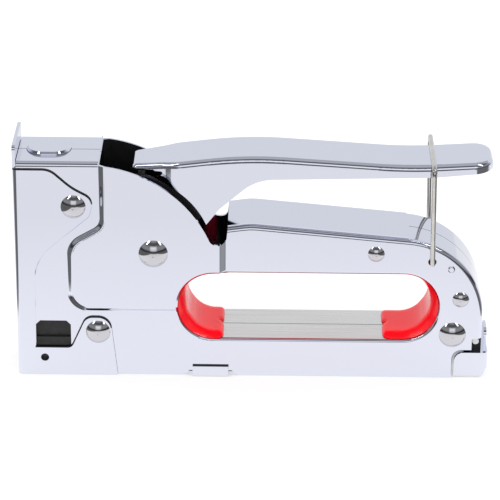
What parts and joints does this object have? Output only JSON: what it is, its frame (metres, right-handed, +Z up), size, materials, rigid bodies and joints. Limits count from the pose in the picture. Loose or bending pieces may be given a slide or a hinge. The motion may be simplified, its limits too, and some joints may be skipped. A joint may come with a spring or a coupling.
{
  "type": "hand staple gun",
  "caption": "Chromed sheet-steel hand tacker with a squeeze lever, spring-driven striker, slide-out staple magazine, red-lined finger loop and wire lock bail",
  "frame": {"origin": "on the surface the tool stands on, under the middle of its bounding box", "axes": "+X runs from the nose to the rear, +Y to the right of the user who holds the nose away from them, +Z up"},
  "size_m": [0.1722, 0.0354, 0.0898],
  "materials": {
    "chrome_body": "bright chrome plate on pressed sheet steel",
    "chrome_rivet": "bright plated rivet heads",
    "bright_steel": "zinc plated sheet and bar",
    "wire_steel": "drawn steel wire",
    "cast_zinc": "plain die casting",
    "black_steel": "blackened steel, satin",
    "bronze": "plain bearing bronze",
    "black_rubber": "moulded rubber",
    "red_plastic": "glossy moulded plastic"
  },
  "bodies": {
    "body": {"left_shell": "chrome_body", "right_shell": "chrome_body", "front_cover": "chrome_body", "spring_cap": "chrome_body", "nose_rivets": "chrome_rivet", "pivot_rivet": "chrome_rivet", "rear_rivet": "chrome_rivet", "grip_rivets": "chrome_rivet", "magazine_track": "bright_steel", "track_studs": "black_steel", "bumper": "black_rubber", "grip_liner": "red_plastic", "main_spring": "wire_steel"},
    "lever": {"lever_handle": "chrome_body", "lift_arm": "black_steel", "arm_bush": "bronze"},
    "driver": {"striker": "black_steel", "driver_blade": "bright_steel"},
    "magazine": {"magazine_rail": "bright_steel", "guide_rod": "bright_steel", "rail_plug": "cast_zinc", "rear_cap": "chrome_body", "latch_pin": "bright_steel", "pusher_spring": "wire_steel"},
    "feeder": {"pusher": "bright_steel"},
    "bail": {"lock_bail": "wire_steel"}
  },
  "joints": [
    {"name": "lever_squeeze", "type": "hinge", "parent": "body", "child": "lever", "pos_m": [-0.03605, 0, 0.0493], "axis": [0, 1, 0], "range_deg": [0, 13]},
    {"name": "striker_lift", "type": "slide", "parent": "body", "child": "driver", "axis": [0, 0, 1], "range_m": [0, 0.0081], "deforming": ["main_spring"]},
    {"name": "bail_swing", "type": "hinge", "parent": "body", "child": "bail", "pos_m": [0.06465, 0, 0.0467], "axis": [0, 1, 0], "range_deg": [0, 95]},
    {"name": "magazine_pull", "type": "slide", "parent": "body", "child": "magazine", "axis": [1, 0, 0], "range_m": [0, 0.1]},
    {"name": "pusher_slide", "type": "slide", "parent": "magazine", "child": "feeder", "axis": [1, 0, 0], "range_m": [0, 0.11], "deforming": ["pusher_spring"]}
  ],
  "couplings": [
    {"joint": "striker_lift", "follows": "lever_squeeze", "m_per_rad": 0.035},
    {"joint": "bail_swing", "follows": "lever_squeeze", "ratio": 7}
  ]
}
